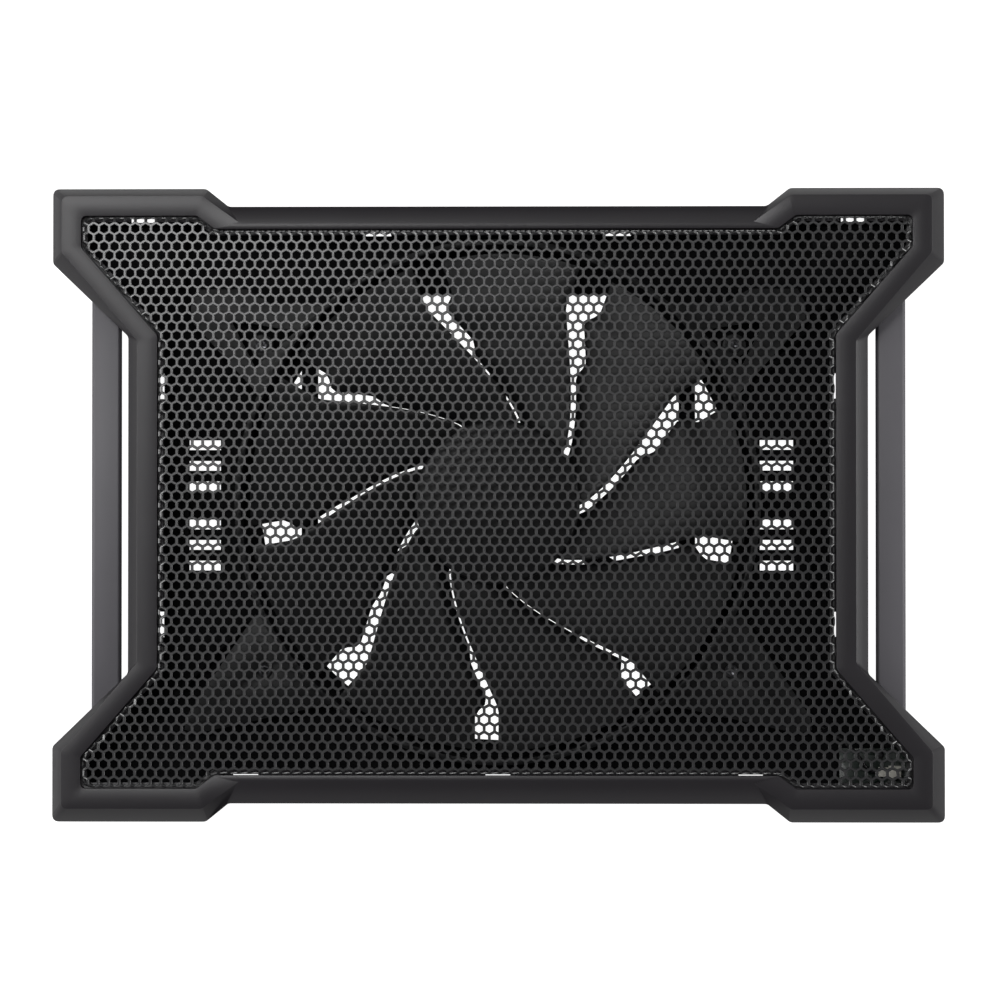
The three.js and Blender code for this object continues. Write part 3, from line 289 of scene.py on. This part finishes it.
FINISH = {
    # The lighter edges of the casing and the side bars are a painted highlight, not wear
    "casing": procedural(
        "casing_plastic", (0.0090, 0.0075, 0.0098), 0.08, 0.38, 0.04, 0.0005, 0.00002, edge_wear_and_highlight=0.35),
    "bar": procedural("bar_plastic", (0.075, 0.072, 0.080), 0.08, 0.50, 0.04, 0.0005, 0.00003, edge_wear_and_highlight=0.2),
    "base": procedural(
        "base_plastic", (0.0025, 0.0025, 0.003), 0.10, 0.62, 0.06, 0.0006, 0.00005, specular=0.08),
    "mesh": procedural(
        "mesh_paint", (0.012, 0.012, 0.013), 0.08, 0.34, 0.04, 0.0008, 0.00002, coat=1.0, specular=0.6),
    "rotor": procedural(
        "rotor_plastic", (0.006, 0.006, 0.0065), 0.08, 0.42, 0.05, 0.0009, 0.00001, specular=0.3),
    "steel": procedural(
        "bright_steel", (0.50, 0.51, 0.53), 0.06, 0.28, 0.08, 0.0004, 0.00002, metallic=1.0, stretch=(1, 6, 1)),
    "screw_steel": procedural(
        "black_zinc", (0.07, 0.07, 0.075), 0.12, 0.32, 0.06, 0.0003, 0.00002, metallic=0.9, edge_wear_and_highlight=0.6),
    "magnet": procedural("bonded_ferrite", (0.05, 0.046, 0.043), 0.15, 0.72, 0.05, 0.0004, 0.00004),
    "bronze": procedural("sintered_bronze", (0.36, 0.22, 0.09), 0.15, 0.45, 0.1, 0.0003, 0.00003, metallic=1.0),
    "copper": procedural(
        "enamelled_wire", (0.48, 0.17, 0.06), 0.12, 0.3, 0.08, 0.0004, 0.00006, metallic=0.9, stretch=(1, 1, 9)),
    "board": procedural("solder_mask", (0.004, 0.012, 0.008), 0.18, 0.35, 0.08, 0.0007, 0.00002, coat=0.4),
    "rubber": procedural("black_rubber", (0.013, 0.013, 0.013), 0.12, 0.82, 0.05, 0.0004, 0.00006),
    "nylon": procedural("natural_nylon", (0.66, 0.64, 0.58), 0.05, 0.5, 0.05, 0.0005, 0.00003),
    "lead_sleeve": procedural("shiny_sleeve", (0.012, 0.012, 0.013), 0.1, 0.26, 0.05, 0.0008, 0.00003, coat=0.3),
}

# ---------------------------------------------------------------- outlines, in millimetres


def all_quarters(corners):
    """The outline of all four quarters, counterclockwise, from the one with +X and +Y."""
    loop = []
    for sign_x, sign_y, order in ((1, 1, 1), (-1, 1, -1), (-1, -1, 1), (1, -1, -1)):
        loop += [(sign_x * c[0], sign_y * c[1], *c[2:]) for c in corners[::order]]
    return loop


def inset(corners, distance):
    """The outline moved inwards by a distance, corner by corner."""
    moved = []
    for i, corner in enumerate(corners):
        before = corners[i - 1]
        after = corners[(i + 1) % len(corners)]
        a = Vector((corner[0] - before[0], corner[1] - before[1])).normalized()
        b = Vector((after[0] - corner[0], after[1] - corner[1])).normalized()
        reach = distance / (1 + a.dot(b))
        moved.append((corner[0] - (a.y + b.y) * reach, corner[1] + (a.x + b.x) * reach, *corner[2:]))
    return moved


def rounded(corners, radius, height=None, steps=CORNER_STEPS):
    """The outline with round corners, as points in metres at one height or at the corners' own."""
    points = [Vector((c[0], c[1], c[2] if height is None else height)) for c in corners]
    loop = []
    for i, corner in enumerate(points):
        to_before = points[i - 1] - corner
        to_after = points[(i + 1) % len(points)] - corner
        reach = radius / math.tan(min(to_before.angle(to_after), math.pi - 0.001) / 2)
        start = corner + to_before.normalized() * reach
        end = corner + to_after.normalized() * reach
        for step in range(steps + 1):
            t = step / steps
            loop.append((start * (1 - t) ** 2 + corner * 2 * t * (1 - t) + end * t ** 2) * MM)
    return loop


FOOT = all_quarters([(x, y, z) for (x, y), z in zip(FOOT_CORNERS, FOOT_HEIGHTS)])
TOP = [(x + TOP_SHIFT[0], y + TOP_SHIFT[1]) for x, y in all_quarters(TOP_CORNERS)]
WINDOW = [(x + TOP_SHIFT[0], y + TOP_SHIFT[1]) for x, y in all_quarters(WINDOW_CORNERS)]

# ---------------------------------------------------------------- mesh tools


def new_object(name, bm):
    bmesh.ops.recalc_face_normals(bm, faces=bm.faces)
    mesh = bpy.data.meshes.new(name)
    bm.to_mesh(mesh)
    bm.free()
    piece = bpy.data.objects.new(name, mesh)
    bpy.context.scene.collection.objects.link(piece)
    return piece


def bake_modifiers(piece):
    """Turns a piece's modifiers into its own mesh."""
    graph = bpy.context.evaluated_depsgraph_get()
    result = bpy.data.meshes.new_from_object(piece.evaluated_get(graph))
    piece.modifiers.clear()
    piece.data = result


def bevelled(piece, width, segments=2, angle=30):
    bevel = piece.modifiers.new("edges", "BEVEL")
    bevel.width = width
    bevel.segments = segments
    bevel.limit_method = "ANGLE"
    bevel.angle_limit = math.radians(angle)
    bevel.use_clamp_overlap = True
    bake_modifiers(piece)


def smooth(piece, angle=35):
    piece.data.shade_smooth()
    piece.data.set_sharp_from_angle(angle=math.radians(angle))


def skin(bm, rings, closed_rings=True, joined_ends=False):
    """Faces between rings of the same number of points. Returns the rings' vertices."""
    made = [[bm.verts.new(point) for point in ring] for ring in rings]
    pairs = list(zip(made, made[1:]))
    if joined_ends:
        pairs.append((made[-1], made[0]))
    for low, high in pairs:
        count = len(low)
        for i in range(count if closed_rings else count - 1):
            j = (i + 1) % count
            bm.faces.new((low[i], low[j], high[j], high[i]))
    return made


def add_box(bm, low, high):
    centre = (Vector(low) + Vector(high)) / 2
    size = Vector(high) - Vector(low)
    matrix = Matrix.Translation(centre) @ Matrix.Diagonal((*size, 1))
    bmesh.ops.create_cube(bm, size=1, matrix=matrix)


def add_turned(bm, profile, centre, steps=72):
    """A closed profile of [radius, z] in millimetres, turned about the vertical through a point."""
    rings = []
    for step in range(steps):
        angle = 2 * math.pi * step / steps
        ring = [Vector((r * math.cos(angle), r * math.sin(angle), z)) * MM + centre for r, z in profile]
        rings.append(ring)
    skin(bm, rings, joined_ends=True)


def finish_piece(piece, finish, body, slot, *replaced):
    piece.data.materials.clear()
    piece.data.materials.append(FINISH[finish])
    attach(piece, body)
    if replaced:
        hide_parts(*replaced)
    return piece


def body_of(node):
    for body, members in frame["record"]["behaviour"]["bodies"].items():
        if node in members:
            return body
    raise ValueError(node)


def slot_of(node):
    for row in frame["record"]["subparts"]:
        if row["node"] == node:
            return row["material_slot"]
    raise ValueError(node)


def refined(node, name, width, finish=None, segments=2, angle=30):
    """A copy of a CAD node with its facets merged and its edges rounded, standing for the node."""
    bm = bmesh.new()
    bm.from_mesh(nodes[node].data)
    bmesh.ops.remove_doubles(bm, verts=bm.verts, dist=0.002 * MM)
    bmesh.ops.dissolve_limit(bm, angle_limit=math.radians(0.5), verts=bm.verts, edges=bm.edges)
    piece = new_object(name, bm)
    bevelled(piece, width * MM, segments, angle)
    smooth(piece)
    slot = slot_of(node)
    return finish_piece(piece, finish or slot, body_of(node), slot, node)


# ---------------------------------------------------------------- casing


def snap_cutter():
    """The slots for the snap hooks, which lean inwards."""
    bm = bmesh.new()
    half = SNAP_LENGTH / 2
    slim = SNAP_WIDTH / 2
    slots = [(x, y, half, slim) for x, y in SNAPS_ALONG_X] + [(x, y, slim, half) for x, y in SNAPS_ALONG_Y]
    for x, y, half_x, half_y in slots:
        middle = Vector((x, y, 0)) * SNAP_LEAN
        low = middle - Vector((half_x, half_y, 0))
        high = middle + Vector((half_x, half_y, LEDGE_TOP + 0.3))
        add_box(bm, low * MM, high * MM)
    return new_object("snap_cutter", bm)


def cut_away(piece, cutter):
    boolean = piece.modifiers.new("cut", "BOOLEAN")
    boolean.operation = "DIFFERENCE"
    boolean.solver = "EXACT"
    boolean.object = cutter
    bake_modifiers(piece)
    bpy.data.objects.remove(cutter)


def add_posts(piece):
    bm = bmesh.new()
    bm.from_mesh(piece.data)
    top = FRAME_CEILING_Z + 0.3
    profile = [
        (POST_HOLE_RADIUS, POST_BOTTOM), (POST_RADIUS, POST_BOTTOM),
        (POST_RADIUS, top), (POST_HOLE_RADIUS, top),
    ]
    for x, y in CASE_SCREWS:
        add_turned(bm, profile, Vector((x, y, 0)) * MM, 32)
    bmesh.ops.recalc_face_normals(bm, faces=bm.faces)
    bm.to_mesh(piece.data)
    bm.free()


def top_bezel():
    """The four-winged bezel as one section swept round the window: skirt, chamfer, top, ledge, hollow."""
    inner = inset(FOOT, FRAME_WALL)
    ledge = inset(WINDOW, LEDGE_WIDTH)
    rings = [
        rounded(FOOT, OUTER_RADIUS, FRAME_BOTTOM / MM),
        rounded(FOOT, OUTER_RADIUS),
        rounded(TOP, OUTER_RADIUS, FRAME_TOP / MM),
        rounded(WINDOW, WINDOW_RADIUS, FRAME_TOP / MM),
        rounded(WINDOW, WINDOW_RADIUS, LEDGE_TOP),
        rounded(ledge, WINDOW_RADIUS, LEDGE_TOP),
        rounded(ledge, WINDOW_RADIUS, FRAME_CEILING_Z),
        rounded(inset(FOOT, CEILING_INSET), OUTER_RADIUS, FRAME_CEILING_Z),
        rounded(inner, OUTER_RADIUS, FRAME_SHOULDER_Z),
        rounded(inner, OUTER_RADIUS, FRAME_BOTTOM / MM),
    ]
    bm = bmesh.new()
    skin(bm, rings, joined_ends=True)
    piece = new_object("bezel", bm)
    cut_away(piece, snap_cutter())
    bevelled(piece, 0.45 * MM, 3, 28)
    add_posts(piece)
    smooth(piece)
    finish_piece(piece, "casing", "case", "casing", "top_frame")


# ---------------------------------------------------------------- perforated sheet


def distance_to_loop(points, loop):
    """Signed distance of 2-D points to a closed loop, negative inside, with the nearest loop points."""
    starts = np.array(loop)
    ends = np.roll(starts, -1, axis=0)
    best = np.full(len(points), np.inf)
    nearest = np.zeros_like(points)
    inside = np.zeros(len(points), bool)
    for a, b in zip(starts, ends):
        along = b - a
        t = np.clip(((points - a) @ along) / (along @ along), 0, 1)
        foot = a + t[:, None] * along
        reach = np.linalg.norm(points - foot, axis=1)
        closer = reach < best
        best[closer] = reach[closer]
        nearest[closer] = foot[closer]
        crosses = (a[1] > points[:, 1]) != (b[1] > points[:, 1])
        if crosses.any():
            x_cross = a[0] + (points[:, 1] - a[1]) / (b[1] - a[1]) * along[0]
            inside ^= crosses & (points[:, 0] < x_cross)
    return np.where(inside, -best, best), nearest


def rolled(flat_points, depths, loop):
    """Points of the flat sheet carried over its rolled edge. Everything in millimetres."""
    distance, nearest = distance_to_loop(flat_points, loop)
    out = np.column_stack([flat_points, PANEL_TOP / MM - depths])
    over = distance > 1e-6
    away = (flat_points[over] - nearest[over]) / distance[over][:, None]
    turn = np.minimum(distance[over] / ROLL_RADIUS, math.pi / 2)
    below = np.maximum(0, distance[over] - ROLL_RADIUS * math.pi / 2)
    radius = ROLL_RADIUS - depths[over]
    out[over, :2] = nearest[over] + away * (radius * np.sin(turn))[:, None]
    out[over, 2] = PANEL_TOP / MM - ROLL_RADIUS + radius * np.cos(turn) - below
    return out


def hexagon(scale):
    half_x = PITCH_X / 2 * scale
    y = PITCH_Y / 3 * scale
    return np.array([(0, 2 * y), (-half_x, y), (-half_x, -y), (0, -2 * y), (half_x, -y), (half_x, y)])


def perforated_sheet():
    """Hexagon holes with pressed rims, laid out flat and rolled down along the window's edge."""
    bend = inset(WINDOW, PANEL_CLEARANCE + ROLL_RADIUS)
    loop = [(p.x / MM, p.y / MM) for p in rounded(bend, WINDOW_RADIUS, 0)]
    lip = (PANEL_TOP - PANEL_LIP) / MM - ROLL_RADIUS
    furthest = ROLL_RADIUS * math.pi / 2 + lip
    columns = range(-math.ceil(180 / PITCH_X), math.ceil(180 / PITCH_X) + 1)
    rows = range(-math.ceil(126 / PITCH_Y), math.ceil(126 / PITCH_Y) + 1)
    keys = [(i, j) for j in rows for i in columns]
    centres = np.array([(GRID_X + (i + (j % 2) / 2) * PITCH_X, GRID_Y + j * PITCH_Y) for i, j in keys])
    corner_reach = distance_to_loop((centres[:, None, :] + hexagon(1.0)).reshape(-1, 2), loop)[0]
    kept = corner_reach.reshape(-1, 6).max(axis=1) < furthest
    keys = [key for key, keep in zip(keys, kept) if keep]
    centres = centres[kept]
    present = set(keys)
    layers = ((1.0, 0.0), (RIM_PART, 0.0), (HOLE_PART, RIM_DROP), (HOLE_PART, SHEET), (1.0, SHEET))
    flat = np.concatenate([(centres[:, None, :] + hexagon(scale)) for scale, _ in layers], axis=1)
    depths = np.tile(np.repeat([depth for _, depth in layers], 6), len(centres))
    points = rolled(flat.reshape(-1, 2), depths, loop) * MM
    around = [(0, 1, -1, 1), (1, 2, -1, 0), (2, 3, -1, -1), (3, 4, 0, -1), (4, 5, 1, 0), (5, 0, 0, 1)]
    faces = []
    for cell, (i, j) in enumerate(keys):
        base = cell * 6 * len(layers)
        for a, b, step_i, step_j in around:
            for layer in range(len(layers) - 1):
                top = base + layer * 6
                faces.append((top + a, top + b, top + 6 + b, top + 6 + a))
            neighbour = (i + step_i + (j % 2 if step_j else 0), j + step_j)
            if neighbour not in present:
                last = base + (len(layers) - 1) * 6
                faces.append((base + b, base + a, last + a, last + b))
    mesh = bpy.data.meshes.new("sheet")
    mesh.from_pydata(points.tolist(), [], faces)
    bm = bmesh.new()
    bm.from_mesh(mesh)
    bmesh.ops.remove_doubles(bm, verts=bm.verts, dist=0.005 * MM)
    piece = new_object("hexagon_mesh", bm)
    finish_piece(piece, "mesh", "case", "mesh", "mesh_panel")


# ---------------------------------------------------------------- fan rotor


def sweep_angle(radius):
    reach = min(max(radius, HUB_RADIUS), SWEEP_END_RADIUS) - HUB_RADIUS
    return SWEEP_START + SWEEP_TURN * (1 - math.exp(-reach / SWEEP_LENGTH))


def grown(radius, start, length):
    """A smooth growth from 0 to 1 over a length of radius."""
    part = min(max((radius - start) / length, 0), 1)
    return part * part * (3 - 2 * part)


def gap_edges(number, radius):
    """The edges of the space before a blade's number, in degrees: its blade's and its neighbour's."""
    width, widening = BLADE_GAPS[number % BLADE_COUNT]
    middle = sweep_angle(radius) + number * 360 / BLADE_COUNT
    opened = widening * grown(radius, WIDENING_START, WIDENING_LENGTH)
    corner = TIP_CORNER_WIDTH * grown(radius, TIP_CORNER_START, TIP_CORNER_LENGTH)
    before = middle - math.degrees((width / 2 + opened + corner) / radius)
    return middle + math.degrees(width / 2 / radius), before


def blade_station(radius, number):
    """A closed section of one blade at a radius: round-edged, slightly cambered."""
    chord_steps = 14
    start = gap_edges(number, radius)[0]
    span = gap_edges(number + 1, radius)[1] - start
    middle_low = BLADE_LOW_Z + BLADE_THICKNESS / 2
    middle_high = BLADE_HIGH_Z - BLADE_THICKNESS / 2
    section = []
    for side in (1, -1):
        steps = range(chord_steps + 1) if side == 1 else range(chord_steps - 1, 0, -1)
        for step in steps:
            part = (1 - math.cos(math.pi * step / chord_steps)) / 2
            angle = math.radians(start + span * part)
            camber = 0.9 * math.sin(math.pi * part)
            half = BLADE_THICKNESS / 2 * (1 - abs(2 * part - 1) ** 5) ** 0.5
            z = middle_high + (middle_low - middle_high) * part + camber * 0.6 + side * half
            section.append(Vector((radius * math.cos(angle), radius * math.sin(angle), z)) * MM + FAN_CENTRE)
    return section


def add_blade(bm, number):
    stations = 26
    root = HUB_RADIUS - 0.8
    radii = [root + (BLADE_TIP - root) * i / stations for i in range(stations + 1)]
    rings = skin(bm, [blade_station(radius, number) for radius in radii])
    bm.faces.new(rings[0])
    bm.faces.new(rings[-1])


def rotor():
    bm = bmesh.new()
    hole = 1.3
    add_turned(bm, [
        (hole, HUB_TOP - 2), (HUB_RADIUS - 2, HUB_TOP - 2), (HUB_RADIUS - 2, HUB_BOTTOM),
        (HUB_RADIUS - 0.4, HUB_BOTTOM), (HUB_RADIUS, HUB_BOTTOM + 0.4), (HUB_RADIUS, HUB_TOP - 1.3),
        (HUB_RADIUS - 0.2, HUB_TOP - 0.6), (HUB_RADIUS - 0.6, HUB_TOP - 0.2), (HUB_RADIUS - 1.3, HUB_TOP),
        (hole, HUB_TOP),
    ], FAN_CENTRE, 96)
    seat_top = HUB_TOP - 1.8
    add_turned(bm, [(24.9, HUB_BOTTOM), (26.5, HUB_BOTTOM), (26.5, seat_top), (24.9, seat_top)], FAN_CENTRE)
    cap_low = HUB_TOP - 0.9
    cap_high = HUB_TOP - 0.1
    cap = [(0.0001, cap_low), (hole + 0.2, cap_low), (hole + 0.2, cap_high), (0.0001, cap_high)]
    add_turned(bm, cap, FAN_CENTRE, 24)
    for number in range(BLADE_COUNT):
        add_blade(bm, number)
    piece = new_object("rotor", bm)
    smooth(piece, 40)
    finish_piece(piece, "rotor", "fan", "rotor", "fan_rotor")


# ---------------------------------------------------------------- other pieces

LEAD_RADIUS = 0.8
LEAD_STRUT_ANGLE = -30
LEAD_STRUT_RADII = (19.6, 40, 62, 84, 106)
LEAD_HEIGHT = 7.6
LEAD_FLOOR_POINTS = [
    (101.6, -57.6, 7.5), (109, -65, 6.4), (115, -75, 5.9), (124, -85, 5.8), (136, -93.5, 5.8),
    (145.5, -99.5, 6.8), (153, -106, 8.1), (158, -112.6, 8.2), (161.2, -114, 8.2), (162.2, -114, 8.2),
]


def fan_lead():
    angle = math.radians(LEAD_STRUT_ANGLE)
    in_strut = [(r * math.cos(angle), r * math.sin(angle) + 1.2, LEAD_HEIGHT) for r in LEAD_STRUT_RADII]
    data = bpy.data.curves.new("lead", "CURVE")
    data.dimensions = "3D"
    data.bevel_depth = LEAD_RADIUS * MM
    data.bevel_resolution = 4
    data.resolution_u = 8
    data.use_fill_caps = True
    route = in_strut + LEAD_FLOOR_POINTS
    spline = data.splines.new("BEZIER")
    spline.bezier_points.add(len(route) - 1)
    for point, place in zip(spline.bezier_points, route):
        point.co = Vector(place) * MM
        point.handle_left_type = "AUTO"
        point.handle_right_type = "AUTO"
    lead = bpy.data.objects.new("lead", data)
    bpy.context.scene.collection.objects.link(lead)
    finish_piece(lead, "lead_sleeve", "case", "lead_sleeve", "fan_lead")


top_bezel()
perforated_sheet()
rotor()
fan_lead()

# The rounding in millimetres of each CAD node that is only refined
ROUNDING = {
    "base_tray": 0.25, "fan_frame": 0.3, "left_side_bar": 0.4, "right_side_bar": 0.4,
    "left_leg": 0.4, "right_leg": 0.4, "left_leg_tip": 0.4, "right_leg_tip": 0.4,
    "front_foot_left": 0.5, "front_foot_right": 0.5, "rear_foot_left": 0.5, "rear_foot_right": 0.5,
    "usb_port": 0.12, "power_inlet": 0.1, "switch_body": 0.15, "switch_knob": 0.2,
    "lead_header": 0.2, "lead_plug": 0.25, "control_board": 0.1, "motor_board": 0.1,
    "stator_core": 0.2, "rotor_yoke": 0.15, "rotor_magnet": 0.15, "rotor_shaft": 0.15, "bearing_sleeve": 0.15,
    "shaft_clip": 0.1, "left_leg_pin": 0.2, "right_leg_pin": 0.2, "board_screw_1": 0.1, "board_screw_2": 0.1,
}
for number in range(1, 5):
    ROUNDING[f"stator_coil_{number}"] = 0.7
    ROUNDING[f"fan_screw_{number}"] = 0.12
for number in range(1, 8):
    ROUNDING[f"case_screw_{number}"] = 0.12
for node, width in ROUNDING.items():
    refined(node, f"{node}_refined", width, "bar" if node.endswith("side_bar") else None)
